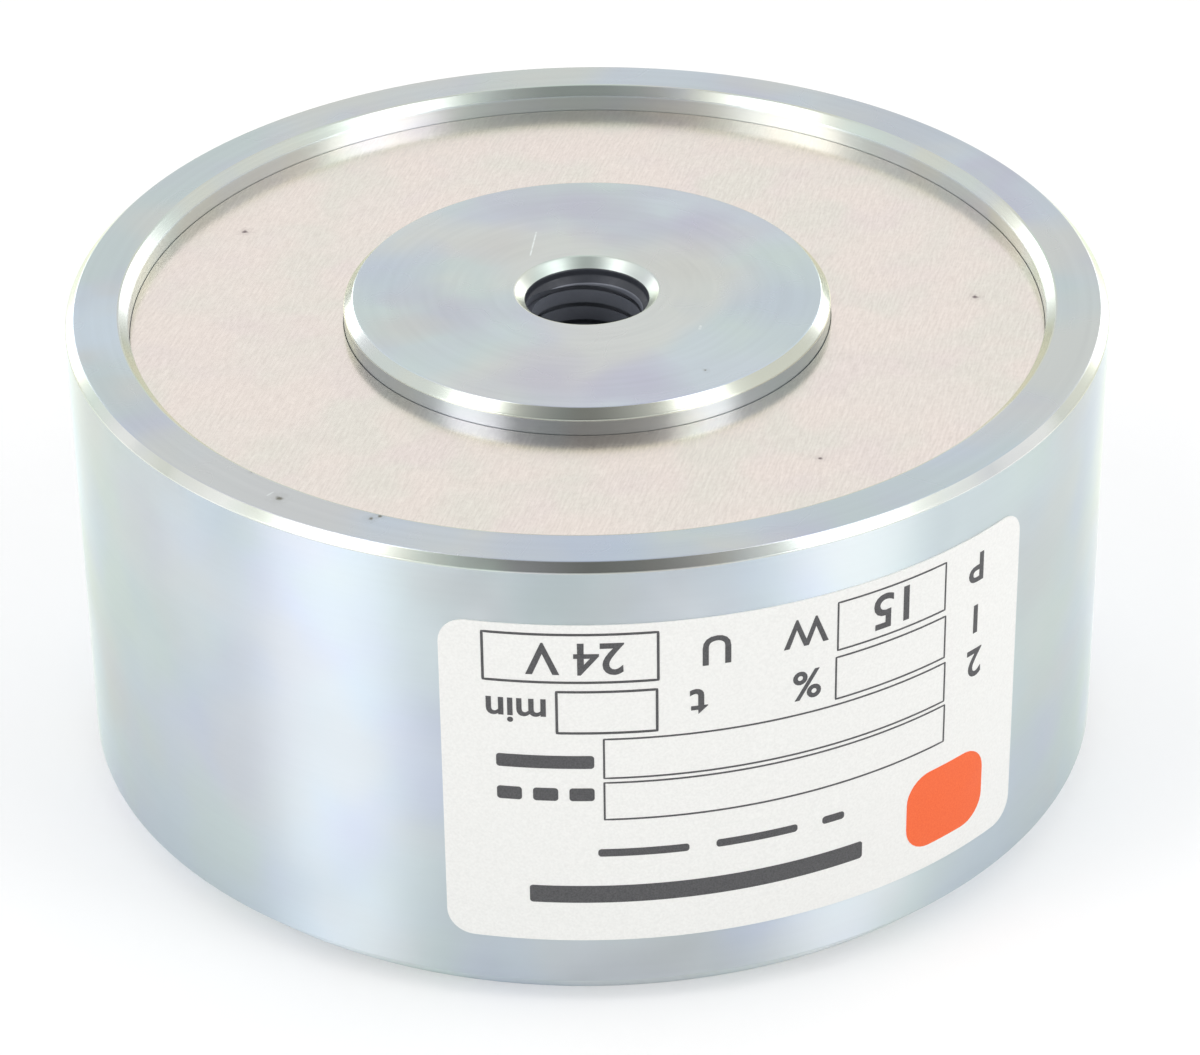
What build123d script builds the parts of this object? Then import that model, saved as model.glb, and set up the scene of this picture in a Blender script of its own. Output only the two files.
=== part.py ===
from build123d import *
import math
import os

# Round holding electromagnet, 80 mm across and 38 mm high, in millimetres
# The origin is the centre of the mounting face and +Z points out of the pole face.
# The rating label is centred on -Y and the lead exit is on +Y.

# Magnet body, from its axis outwards and from its floor upwards
pole_d = 37.5
coil_room = 16.45  # between the pole core and the mouth of the pot
ring_w = 4.8  # outer pole ring, from the mouth of the pot to its side
base_t = 8.5
body_h = 38.0
shoulder_w = 5.75  # the pole core's seat on the floor of the pot, round its pressed end
spigot_recess = 0.2  # keeps the pressed end below the mounting face

# Broken edges, each measured along both faces
back_chamfer = 2.0
rim_chamfer = 0.65
mouth_chamfer = 0.75
pole_chamfer = 0.75
seam_chamfer = 0.4
chamber_corner = 0.5

# Fixing thread, drawn at the minor diameter of M10
thread_minor_d = 8.5
thread_mouth_d = 11.1

# Cover plate over the coil chamber
cover_depth = 2.0  # from the pole faces down to the plate
cover_t = 1.5
cover_ledge = 0.7

# Coil former
washer_t = 0.5
pressure_t = 1.0
pressure_w = 7.0
hub_wall = 1.0
flange_t = 1.4

# Tag bridge on the lower flange of the former
post_w = 4.6
post_t = 2.9
post_h = 7.5

# Solder tags
tag_w = 2.0
tag_t = 0.5
tag_rise = 4.5
tag_root = 4.0
tag_corner = 0.5
eye_d = 1.0
eye_drop = 1.3  # from the top of the tag to the centre of its eye

# Winding and its tails
wire_d = 0.4
tape_t = 0.35
tape_margin = 1.5  # bare end of the winding where the finish tail leaves
tail_end = 0.8  # how far a tail stands out of the tag's eye
sleeve_wall = 0.15
slot_w = 1.3
slot_depth = 0.95

# Lead exit
lead_hole_d = 6.6
lead_seat_d = 10.4
lead_seat_margin = 0.2  # depth of the flat seat at its outer edge
grommet_bore_d = 3.4
grommet_lip = 0.6  # how far the inner lip grips behind the wall
grommet_lip_t = 1.0
grommet_head_t = 1.1
grommet_chamfer = 0.35

# Rating label
label_arc = 46.8  # length along the side of the body
label_top = 4.9  # from the pole faces down to the label
label_bottom = 5.8  # from the mounting face up to the label
label_corner_r = 2.0
label_t = 0.12

# Clearances
spigot_fit = 0.01
cover_fit = 0.1
former_fit = 0.25
winding_fit = 0.05
post_fit = 0.3
tag_fit = 0.02
tail_fit = 0.3
sleeve_fit = 0.02
sleeve_gap = 0.3  # from each end of the sleeving to the bend of its tail
washer_fit = 0.3
grommet_fit = 0.05
lip_fit = 0.3
head_fit = 0.3

# Radii that follow
pole_r = pole_d / 2
spigot_r = pole_r - shoulder_w
mouth_r = pole_r + coil_room
body_r = mouth_r + ring_w
chamber_r = mouth_r - cover_ledge
hub_in_r = pole_r + former_fit
hub_r = hub_in_r + hub_wall
flange_r = chamber_r - former_fit
post_in_r = flange_r - post_t
post_mid_r = flange_r - post_t / 2
tape_r = post_in_r - post_fit
winding_r = tape_r - tape_t - winding_fit
wire_r = wire_d / 2
lead_hole_r = lead_hole_d / 2
lead_seat_r = lead_seat_d / 2
lip_r = lead_hole_r + grommet_lip

# Heights that follow
cover_z = body_h - cover_depth - cover_t
former_z = base_t + washer_t
former_top = cover_z - pressure_t
lower_flange_top = former_z + flange_t
upper_flange_z = former_top - flange_t
post_top = lower_flange_top + post_h
eye_z = post_top + tag_rise - eye_drop
slot_z = lower_flange_top - slot_depth / 2
lead_z = lower_flange_top + lip_r + lip_fit

# Places round the tag bridge
window_half = lip_r + lip_fit
post_angle = math.degrees(math.asin((window_half + post_w / 2) / post_mid_r))
riser_x = post_w / 2 + tail_fit + wire_r

# Flat seat of the grommet, and the inside of the wall beside its lip
lead_seat_y = math.sqrt(body_r**2 - lead_seat_r**2) - lead_seat_margin
lip_y = math.sqrt(chamber_r**2 - lip_r**2) - grommet_fit
lead_axis = Plane(origin=(0, 0, lead_z), x_dir=(1, 0, 0), z_dir=(0, 1, 0))


def turned(*corners):
    """A solid turned about Z from the corners (radius, height) of its half section."""
    section = make_face(Polyline(*corners, close=True))
    return revolve(Plane.XZ * section, Axis.Z)


def ring(inner_r, outer_r, bottom, top):
    """A plain ring about Z."""
    return turned((inner_r, bottom), (outer_r, bottom), (outer_r, top), (inner_r, top))


def block(x_range, y_range, z_range):
    """A square block between two limits on each axis."""
    size = [high - low for low, high in (x_range, y_range, z_range)]
    middle = [(high + low) / 2 for low, high in (x_range, y_range, z_range)]
    return Pos(*middle) * Box(*size)


def at_post(side):
    """Turns a piece drawn on +Y to the post on one side of the lead exit."""
    return Rot(0, 0, -side * post_angle)


def pot_shell():
    """The turned cup with its cover ledge, pressed-joint bore and drilled lead exit."""
    bore_r = spigot_r + spigot_fit
    cup = turned(
        (bore_r + seam_chamfer, 0),
        (body_r - back_chamfer, 0),
        (body_r, back_chamfer),
        (body_r, body_h - rim_chamfer),
        (body_r - rim_chamfer, body_h),
        (mouth_r + mouth_chamfer, body_h),
        (mouth_r, body_h - mouth_chamfer),
        (mouth_r, cover_z),
        (chamber_r, cover_z),
        (chamber_r, base_t + chamber_corner),
        (chamber_r - chamber_corner, base_t),
        (bore_r, base_t),
        (bore_r, seam_chamfer),
    )
    drilling = turned((0, 0), (lead_hole_r, 0), (lead_hole_r, body_r), (0, body_r))
    facing = turned((0, lead_seat_y), (lead_seat_r, lead_seat_y), (lead_seat_r, body_r), (0, body_r))
    return cup - lead_axis * drilling - lead_axis * facing


def pole_core():
    """The turned centre pole: a shouldered spigot below, the threaded hole through it."""
    thread_r = thread_minor_d / 2
    thread_mouth_r = thread_mouth_d / 2
    lead_in = thread_mouth_r - thread_r
    return turned(
        (thread_mouth_r, spigot_recess),
        (spigot_r - seam_chamfer, spigot_recess),
        (spigot_r, spigot_recess + seam_chamfer),
        (spigot_r, base_t),
        (pole_r, base_t),
        (pole_r, body_h - pole_chamfer),
        (pole_r - pole_chamfer, body_h),
        (thread_mouth_r, body_h),
        (thread_r, body_h - lead_in),
        (thread_r, spigot_recess + lead_in),
    )


def base_insulator():
    """The fibre washer on the floor of the chamber, clear of its turned corner."""
    return ring(hub_in_r, chamber_r - chamber_corner - washer_fit, base_t, former_z)


def tag_post(side):
    """One post of the tag bridge, cut from the ring that the bridge follows."""
    bridge = ring(post_in_r, flange_r, lower_flange_top, post_top)
    width = block((-post_w / 2, post_w / 2), (0, body_r), (lower_flange_top, post_top))
    pocket = block(
        (-tag_t / 2 - tag_fit, tag_t / 2 + tag_fit),
        (post_mid_r - tag_w / 2 - tag_fit, post_mid_r + tag_w / 2 + tag_fit),
        (post_top - tag_root, post_top),
    )
    return (bridge & at_post(side) * width) - at_post(side) * pocket


def coil_former():
    """The moulded bobbin with its two tag posts and the slot for the start tail."""
    spool = turned(
        (hub_in_r, former_z),
        (flange_r, former_z),
        (flange_r, lower_flange_top),
        (hub_r, lower_flange_top),
        (hub_r, upper_flange_z),
        (flange_r, upper_flange_z),
        (flange_r, former_top),
        (hub_in_r, former_top),
    )
    start_slot = block(
        (riser_x - slot_w / 2, riser_x + slot_w / 2),
        (hub_r, body_r),
        (lower_flange_top - slot_depth, lower_flange_top),
    )
    return spool + tag_post(1) + tag_post(-1) - at_post(1) * start_slot


def tail(*corners):
    """A stiff round wire, bent square at the corners of its route."""
    route = Polyline(*corners)
    section = Plane(origin=route @ 0, z_dir=route % 0) * Circle(wire_r)
    return sweep(section, path=route, transition=Transition.RIGHT)


def coil_winding():
    """The winding, with its start tail in the flange slot and its finish tail beside the other post."""
    coil = ring(hub_r + winding_fit, winding_r, lower_flange_top + winding_fit, upper_flange_z - winding_fit)
    start_y = hub_r + winding_fit + wire_d
    start_tail = tail(
        (riser_x, start_y, lower_flange_top + tape_margin),
        (riser_x, start_y, slot_z),
        (riser_x, post_mid_r, slot_z),
        (riser_x, post_mid_r, eye_z),
        (-tail_end, post_mid_r, eye_z),
    )
    finish_z = lower_flange_top + tape_margin / 2
    finish_tail = tail(
        (-riser_x, winding_r - wire_d, finish_z),
        (-riser_x, post_mid_r, finish_z),
        (-riser_x, post_mid_r, eye_z),
        (tail_end, post_mid_r, eye_z),
    )
    return coil + at_post(1) * start_tail + at_post(-1) * finish_tail


def winding_tape():
    """The insulating tape round the winding, clear of the end where the finish tail leaves."""
    return ring(winding_r + winding_fit, tape_r, lower_flange_top + tape_margin, upper_flange_z - winding_fit)


def start_sleeve():
    """The sleeving on the start tail, along its slot in the lower flange."""
    sleeve_in_r = wire_r + sleeve_fit
    sleeve_start = hub_r + winding_fit + wire_d + wire_r + sleeve_gap
    sleeve_end = post_mid_r - wire_r - sleeve_gap
    sleeve = ring(sleeve_in_r, sleeve_in_r + sleeve_wall, sleeve_start, sleeve_end)
    slot_axis = Plane(origin=(riser_x, 0, slot_z), x_dir=(1, 0, 0), z_dir=(0, 1, 0))
    return at_post(1) * (slot_axis * sleeve)


def solder_tag(side):
    """A brass strip standing in its post, with clipped corners and an eye for the wires."""
    tag_top = post_top + tag_rise
    outline = Polyline(
        (post_mid_r - tag_w / 2, post_top - tag_root),
        (post_mid_r + tag_w / 2, post_top - tag_root),
        (post_mid_r + tag_w / 2, tag_top - tag_corner),
        (post_mid_r + tag_w / 2 - tag_corner, tag_top),
        (post_mid_r - tag_w / 2 + tag_corner, tag_top),
        (post_mid_r - tag_w / 2, tag_top - tag_corner),
        close=True,
    )
    face = make_face(outline) - Pos(post_mid_r, eye_z) * Circle(eye_d / 2)
    strip = extrude(Plane.YZ * face, tag_t / 2, both=True)
    return at_post(side) * strip


def pressure_ring():
    """The sponge rubber ring between the upper flange and the cover plate."""
    middle_r = (hub_in_r + flange_r) / 2
    return ring(middle_r - pressure_w / 2, middle_r + pressure_w / 2, former_top, cover_z)


def cover_plate():
    """The sheet washer on the ledge of the pot, round the pole core."""
    return ring(pole_r + cover_fit, mouth_r - cover_fit, cover_z, cover_z + cover_t)


def lead_grommet():
    """The rubber bush of the lead exit: a round head outside, a neck and an inner lip."""
    bore_r = grommet_bore_d / 2
    neck_r = lead_hole_r - grommet_fit
    head_r = lead_seat_r - head_fit
    head_y = lead_seat_y + grommet_head_t
    bush = turned(
        (bore_r, lip_y - grommet_lip_t),
        (neck_r, lip_y - grommet_lip_t),
        (lip_r, lip_y),
        (neck_r, lip_y),
        (neck_r, lead_seat_y),
        (head_r, lead_seat_y),
        (head_r, head_y - grommet_chamfer),
        (head_r - grommet_chamfer, head_y),
        (bore_r, head_y),
    )
    return lead_axis * bush


def rating_label():
    """The sticker wrapped on the side of the body, with rounded corners."""
    span = math.degrees(label_arc / body_r)
    section = make_face(
        Polyline(
            (body_r, label_bottom),
            (body_r + label_t, label_bottom),
            (body_r + label_t, body_h - label_top),
            (body_r, body_h - label_top),
            close=True,
        )
    )
    sheet = Rot(0, 0, -90 - span / 2) * revolve(Plane.XZ * section, Axis.Z, revolution_arc=span)
    corner_edges = sheet.edges().filter_by(GeomType.LINE).filter_by(lambda edge: edge.length < 2 * label_t)
    return fillet(corner_edges, label_corner_r)


pieces = {
    "pot_shell": pot_shell(),
    "pole_core": pole_core(),
    "base_insulator": base_insulator(),
    "coil_former": coil_former(),
    "coil_winding": coil_winding(),
    "winding_tape": winding_tape(),
    "start_sleeve": start_sleeve(),
    "start_tag": solder_tag(1),
    "finish_tag": solder_tag(-1),
    "pressure_ring": pressure_ring(),
    "cover_plate": cover_plate(),
    "lead_grommet": lead_grommet(),
    "rating_label": rating_label(),
}

os.makedirs("parts", exist_ok=True)
for name, piece in pieces.items():
    export_step(piece, f"parts/{name}.step")
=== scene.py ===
import math

import bmesh
import bpy
from mathutils import Matrix, Vector


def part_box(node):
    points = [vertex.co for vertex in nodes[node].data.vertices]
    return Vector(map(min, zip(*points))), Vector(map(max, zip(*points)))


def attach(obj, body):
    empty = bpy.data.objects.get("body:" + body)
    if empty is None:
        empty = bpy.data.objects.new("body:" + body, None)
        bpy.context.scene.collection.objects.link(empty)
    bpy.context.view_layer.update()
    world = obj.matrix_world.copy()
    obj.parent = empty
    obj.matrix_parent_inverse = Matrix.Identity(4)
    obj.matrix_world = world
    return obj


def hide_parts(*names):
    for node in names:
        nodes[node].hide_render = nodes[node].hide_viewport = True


# Round holding electromagnet: smooth turned pieces, fine thread, printed label and finishes
# Blender's unit is the metre, and sizes in millimetres are written times MM.
MM = 0.001

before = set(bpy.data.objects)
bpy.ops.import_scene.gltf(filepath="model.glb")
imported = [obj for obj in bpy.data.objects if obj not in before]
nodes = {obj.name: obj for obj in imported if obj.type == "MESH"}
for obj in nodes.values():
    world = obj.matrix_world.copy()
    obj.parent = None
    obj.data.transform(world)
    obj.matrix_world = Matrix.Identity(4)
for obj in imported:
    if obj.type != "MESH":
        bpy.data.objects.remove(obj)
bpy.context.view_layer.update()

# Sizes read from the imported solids
shell_low, shell_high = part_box("pot_shell")
core_low, core_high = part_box("pole_core")
cover_low, cover_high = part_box("cover_plate")
label_low, label_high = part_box("rating_label")
bush_low, bush_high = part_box("lead_grommet")
washer_low, washer_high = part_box("base_insulator")

BODY_R = shell_high.x
BODY_H = shell_high.z
POLE_R = core_high.x
SPIGOT_Z = core_low.z
FLOOR_Z = washer_low.z
COVER_Z = cover_low.z
COVER_TOP = cover_high.z
LEAD_Z = (bush_low.z + bush_high.z) / 2
LABEL_R = -label_low.y
LABEL_SPAN = 2 * math.asin(label_high.x / LABEL_R)

# Sizes of the turned pieces
COVER_FIT = 0.1 * MM
COVER_SEEN_FIT = 0.04 * MM
COVER_LEDGE = 0.7 * MM
SHOULDER_W = 5.75 * MM
SPIGOT_FIT = 0.01 * MM
BACK_CHAMFER = 2.0 * MM
RIM_CHAMFER = 0.65 * MM
MOUTH_CHAMFER = 0.75 * MM
POLE_CHAMFER = 0.75 * MM
SEAM_CHAMFER = 0.4 * MM
CHAMBER_CORNER = 0.5 * MM
THREAD_MINOR_R = 4.25 * MM
THREAD_MOUTH_R = 5.55 * MM
COVER_EDGE = 0.05 * MM
EDGE_ROUND = 0.09 * MM
MOUTH_R = cover_high.x + COVER_FIT
CHAMBER_R = MOUTH_R - COVER_LEDGE
SPIGOT_R = POLE_R - SHOULDER_W

# Fine thread of the fixing hole, M10
THREAD_MAJOR_R = 5.0 * MM
THREAD_PITCH = 1.5 * MM
THREAD_ROOT_W = THREAD_PITCH / 8
THREAD_FLANK = math.radians(30)
THREAD_VEE_TURN = math.radians(90)
THREAD_START = math.radians(150)
CUTTER_INNER_R = 4.1 * MM
CUTTER_OVERRUN = 1.5 * MM
RELIEF_R = 4.75 * MM
RELIEF_DEPTH = 1.3 * MM

# Lead exit, with its axis laid along Y
LEAD_HOLE_R = 3.3 * MM
LEAD_SEAT_R = 5.2 * MM
LEAD_AXIS = Matrix.Translation((0, 0, LEAD_Z)) @ Matrix.Rotation(math.radians(-90), 4, "X")
BUSH_HEAD_T = 1.1 * MM
BUSH_LIP_T = 1.0 * MM
BUSH_LIP = 0.6 * MM
BUSH_BORE_R = 1.7 * MM
BUSH_FIT = 0.05 * MM
BUSH_CHAMFER = 0.35 * MM
BUSH_HEAD_R = (bush_high.z - bush_low.z) / 2
LEAD_SEAT_Y = bush_high.y - BUSH_HEAD_T

# Label, laid out flat: across from its middle to the viewer's right, and up from the mounting face
SHEET_T = 0.1 * MM
INK_T = 0.02 * MM
LABEL_CORNER_R = 2.0 * MM
LABEL_STEP = 0.5 * MM
RULE_W = 0.14 * MM
BOLD_RULE_W = 0.19 * MM

# How near two points, or a point and a cutting plane, count as one
WELD = 0.0001 * MM
ON_PLANE = 0.001 * MM

# Steps round a turn, and round a corner
FINE_STEPS = 360
MEDIUM_STEPS = 180
SMALL_STEPS = 96
EDGE_STEPS = 3
CORNER_STEPS = 8

# Edges: the most of a run that a rounding takes, how far its guard rings lie, and the turns kept sharp
ROUND_SHARE = 0.3
GUARD_SHARE = 1.5
SHARP_TURN = math.radians(24)
BUSH_SHARP_TURN = math.radians(60)

# Camera, as fitted to the photograph: its place from the middle of the pole faces, and its small turns
CAMERA_ROUND = math.radians(-17.8)
CAMERA_DISTANCE = 340.9 * MM
CAMERA_ELEVATION = math.radians(28.50)
CAMERA_YAW = math.radians(0.125)
CAMERA_PITCH = math.radians(-3.080)
CAMERA_ROLL = math.radians(-0.842)
CAMERA_LENS = 132.8
CAMERA_NEAR = 0.01
CAMERA_FAR = 20.0


def srgb(red, green, blue):
    """A linear colour from its sRGB values out of 255."""
    parts = [value / 255 for value in (red, green, blue)]
    return (*(p / 12.92 if p <= 0.04045 else ((p + 0.055) / 1.055) ** 2.4 for p in parts), 1.0)


# Turned pieces

def eased(corners, radius):
    """Rounds the corners of a closed half section, each (radius, height, finish of the run after it)."""
    rounded = []
    for index, (r, z, finish) in enumerate(corners):
        here = Vector((r, z))
        back = Vector(corners[index - 1][:2]) - here
        ahead = Vector(corners[(index + 1) % len(corners)][:2]) - here
        cut = min(radius, ROUND_SHARE * back.length, ROUND_SHARE * ahead.length)
        start = here + back.normalized() * cut
        end = here + ahead.normalized() * cut
        rounded.append((*(here + back.normalized() * cut * GUARD_SHARE), corners[index - 1][2]))
        for step in range(EDGE_STEPS + 1):
            t = step / EDGE_STEPS
            point = start * (1 - t) ** 2 + here * 2 * t * (1 - t) + end * t**2
            rounded.append((*point, finish))
        rounded.append((*(here + ahead.normalized() * cut * GUARD_SHARE), finish))
    return rounded


def turned(name, section, finishes, steps, place=None):
    """A piece turned about Z from its closed half section, with a material for each finish."""
    mesh = bpy.data.meshes.new(name)
    for finish in finishes.values():
        mesh.materials.append(finish)
    slots = {finish: index for index, finish in enumerate(finishes)}
    turns = [2 * math.pi * step / steps for step in range(steps)]
    work = bmesh.new()
    rings = [[work.verts.new((r * math.cos(a), r * math.sin(a), z)) for a in turns] for r, z, _ in section]
    for index, (_, _, finish) in enumerate(section):
        low, high = rings[index], rings[(index + 1) % len(rings)]
        for step in range(steps):
            after = (step + 1) % steps
            face = work.faces.new((low[step], low[after], high[after], high[step]))
            face.material_index = slots[finish]
    bmesh.ops.remove_doubles(work, verts=work.verts, dist=WELD)
    if place is not None:
        bmesh.ops.transform(work, matrix=place, verts=work.verts)
    work.to_mesh(mesh)
    work.free()
    return linked(name, mesh)


def linked(name, mesh):
    """An object in the scene that shows a mesh."""
    piece = bpy.data.objects.new(name, mesh)
    bpy.context.scene.collection.objects.link(piece)
    return piece


def plain_mesh(piece):
    """The mesh that an object's modifiers or text make."""
    depsgraph = bpy.context.evaluated_depsgraph_get()
    return bpy.data.meshes.new_from_object(piece.evaluated_get(depsgraph), depsgraph=depsgraph)


def settled(piece):
    """Turns what a piece's modifiers make into its own plain mesh."""
    mesh = plain_mesh(piece)
    old = piece.data
    piece.modifiers.clear()
    piece.data = mesh
    mesh.name = piece.name
    bpy.data.meshes.remove(old)
    return cleaned(piece)


def cleaned(piece):
    """Welds the points that cutting leaves on each other, and gives sound triangles that face outwards."""
    work = bmesh.new()
    work.from_mesh(piece.data)
    bmesh.ops.remove_doubles(work, verts=work.verts, dist=WELD)
    bmesh.ops.dissolve_degenerate(work, edges=work.edges, dist=WELD)
    bmesh.ops.triangulate(work, faces=work.faces, quad_method="BEAUTY", ngon_method="BEAUTY")
    bmesh.ops.recalc_face_normals(work, faces=work.faces)
    work.to_mesh(piece.data)
    work.free()
    return piece


def smooth(piece, sharp_turn=SHARP_TURN):
    """Smooth shading, with the edges that turn more than an angle kept sharp."""
    piece.data.shade_smooth()
    piece.data.set_sharp_from_angle(angle=sharp_turn)
    return piece


def removed(piece):
    """Takes a helper object and its mesh out of the scene."""
    mesh = piece.data
    bpy.data.objects.remove(piece)
    bpy.data.meshes.remove(mesh)


# Node trees

# The usual range of a noise
NOISE_RANGE = (0.3, 0.7)
# Vector sums that give a single value
MEASURES = ("LENGTH", "DISTANCE", "DOT_PRODUCT")


class Tree:
    """Adds nodes to one tree. A node's inputs are given by name or number, as values or as sockets."""

    def __init__(self, tree):
        self.tree = tree

    def add(self, kind, inputs=None, **settings):
        node = self.tree.nodes.new(kind)
        for name, value in settings.items():
            setattr(node, name, value)
        for key, value in (inputs or {}).items():
            self.feed(node.inputs[key], value)
        return node

    def made(self, kind, inputs=None, **settings):
        """What a new node puts out first."""
        return self.add(kind, inputs, **settings).outputs[0]

    def feed(self, socket, value):
        if isinstance(value, bpy.types.NodeSocket):
            self.tree.links.new(value, socket)
        else:
            socket.default_value = value

    def place(self):
        """Where a point lies on the piece."""
        return self.add("ShaderNodeTexCoord").outputs["Object"]

    def parts(self, vector):
        return self.add("ShaderNodeSeparateXYZ", {0: vector}).outputs

    def combined(self, x=0.0, y=0.0, z=0.0):
        return self.made("ShaderNodeCombineXYZ", {"X": x, "Y": y, "Z": z})

    def math(self, operation, *values, clamp=False):
        return self.made("ShaderNodeMath", dict(enumerate(values)), operation=operation, use_clamp=clamp)

    def vector(self, operation, *values):
        node = self.add("ShaderNodeVectorMath", dict(enumerate(values)), operation=operation)
        return node.outputs["Value" if operation in MEASURES else "Vector"]

    def spread(self, value, low, high, to_low=0.0, to_high=1.0, soft=False):
        """Maps a range of values to another, held at both ends, and eased into them where it is soft."""
        return self.made(
            "ShaderNodeMapRange",
            {"Value": value, "From Min": low, "From Max": high, "To Min": to_low, "To Max": to_high},
            interpolation_type="SMOOTHSTEP" if soft else "LINEAR",
        )

    def uneven(self, noise, low=0.0, high=1.0, soft=False):
        """Maps the usual range of a noise to a range of values."""
        return self.spread(noise, *NOISE_RANGE, low, high, soft)

    def mixed(self, share, first, second):
        """A colour between two colours."""
        return self.add("ShaderNodeMix", {0: share, 6: first, 7: second}, data_type="RGBA").outputs[2]

    def noise(self, vector, scale, detail=2.0, roughness=0.5):
        inputs = {"Vector": vector, "Scale": scale, "Detail": detail, "Roughness": roughness}
        return self.made("ShaderNodeTexNoise", inputs)

    def group(self, tree, inputs):
        return self.add("ShaderNodeGroup", inputs, node_tree=tree).outputs


def node_group(name, inputs, outputs, tree_kind="ShaderNodeTree"):
    """A node group with its sockets' names, listed by kind, what it is given and what it puts out."""
    made = bpy.data.node_groups.new(name, tree_kind)
    for way, kinds in (("INPUT", inputs), ("OUTPUT", outputs)):
        for kind, names in kinds.items():
            for socket in names:
                made.interface.new_socket(name=socket, in_out=way, socket_type=f"NodeSocket{kind}")
    tree = Tree(made)
    return made, tree, tree.add("NodeGroupInput").outputs, tree.add("NodeGroupOutput").inputs


# Effects that the materials share

# Turning marks: how much a step up counts against a step outwards
MARK_RISE = 1.37
# Plating tints: their shifts from each other, and the noise at which each starts and is full
TINT_SHIFTS = {"Violet": (0.31, 0.12, 0.07), "Green": (0.05, 0.47, 0.23), "Straw": (0.72, 0.29, 0.41)}
TINT_NOISE = (0.43, 0.65)
# Specks: the size and the range of their ragged edge, and between which shares of the radius they fade
SPECK_RAG = 0.35 * MM
SPECK_RAGGED = (0.5, 1.3)
SPECK_FADE = (0.3, 1.0)
STAIN_FADE = (0.6, 3.0)
STAIN_SHARE = 0.16
# Clouds: the size of their waves, the waves' noise and range, where they fade, and how strongly they tint
CLOUD_WAVE = 5 * MM
CLOUD_NOISE = (0.25, 0.75)
CLOUD_WAVY = (0.6, 1.5)
CLOUD_FADE = (0.3, 1.6)
CLOUD_SHARE = 0.55
# Scratches: the size of their breaks, the breaks' noise and range, and where they fade across the width
SCRATCH_BREAK = 0.6 * MM
SCRATCH_NOISE = (0.35, 0.6)
SCRATCH_BROKEN = (0.15, 1.0)
SCRATCH_FADE = (0.25, 0.7)


def turning_marks_group():
    """Fine rings left by the turning tool, round Z on walls, faces and chamfers alike."""
    made, tree, given, result = node_group(
        "turning marks", {"Float": ("Spacing", "Change Round")}, {"Float": ("Height",)}
    )
    x, y, z = tree.parts(tree.place())
    flat = tree.combined(x, y)
    along = tree.math("MULTIPLY_ADD", z, MARK_RISE, tree.vector("LENGTH", flat))
    counted = tree.math("DIVIDE", along, given["Spacing"])
    unit_x, unit_y, _ = tree.parts(tree.vector("NORMALIZE", flat))
    round_x = tree.math("MULTIPLY", unit_x, given["Change Round"])
    round_y = tree.math("MULTIPLY", unit_y, given["Change Round"])
    tree.feed(result["Height"], tree.noise(tree.combined(counted, round_x, round_y), 1.0, detail=1.0))
    return made


def plating_tints_group():
    """The faint violet, blue and straw clouds of a bright zinc plating."""
    made, tree, given, result = node_group(
        "plating tints",
        {"Color": ("Zinc", "Violet", "Green", "Straw"), "Float": ("Cloud Size", "Strength")},
        {"Color": ("Colour",)},
    )
    place = tree.place()
    scale = tree.math("DIVIDE", 1.0, given["Cloud Size"])
    colour = given["Zinc"]
    for tint, shift in TINT_SHIFTS.items():
        cloud = tree.noise(tree.vector("ADD", place, shift), scale, detail=2.0, roughness=0.4)
        shown = tree.spread(cloud, *TINT_NOISE, soft=True)
        colour = tree.mixed(tree.math("MULTIPLY", shown, given["Strength"]), colour, given[tint])
    tree.feed(result["Colour"], colour)
    return made


def brushing_group():
    """Straight one-way brush lines on a flat face, at an angle from X."""
    made, tree, given, result = node_group(
        "one-way brushing", {"Float": ("Angle", "Line Width", "Line Length")}, {"Float": ("Lines",)}
    )
    turn = tree.math("MULTIPLY", given["Angle"], -1.0)
    level = tree.made(
        "ShaderNodeVectorRotate",
        {"Vector": tree.place(), "Axis": (0.0, 0.0, 1.0), "Angle": turn},
        rotation_type="AXIS_ANGLE",
    )
    x, y, _ = tree.parts(level)
    along = tree.math("DIVIDE", x, given["Line Length"])
    across = tree.math("DIVIDE", y, given["Line Width"])
    tree.feed(result["Lines"], tree.noise(tree.combined(along, across), 1.0, detail=3.0, roughness=0.65))
    return made


def grain_group():
    """An even fine grain, and slow smears over it such as handling leaves."""
    made, tree, given, result = node_group(
        "grain and smears", {"Float": ("Grain Size", "Smear Size")}, {"Float": ("Grain", "Smears")}
    )
    place = tree.place()
    for output, size, detail in (("Grain", "Grain Size", 2.0), ("Smears", "Smear Size", 3.0)):
        scale = tree.math("DIVIDE", 1.0, given[size])
        tree.feed(result[output], tree.noise(place, scale, detail))
    return made


def speck_group():
    """One small irregular nick or speck at a place on the piece."""
    made, tree, given, result = node_group(
        "speck", {"Vector": ("Centre",), "Float": ("Radius",)}, {"Float": ("Mask", "Stain")}
    )
    place = tree.place()
    gap = tree.vector("DISTANCE", place, given["Centre"])
    ragged = tree.uneven(tree.noise(place, 1 / SPECK_RAG, detail=2.0), *SPECK_RAGGED)
    share = tree.math("DIVIDE", gap, tree.math("MULTIPLY", given["Radius"], ragged))
    tree.feed(result["Mask"], tree.spread(share, *SPECK_FADE, 1.0, 0.0))
    tree.feed(result["Stain"], tree.spread(share, *STAIN_FADE, 1.0, 0.0))
    return made


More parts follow.
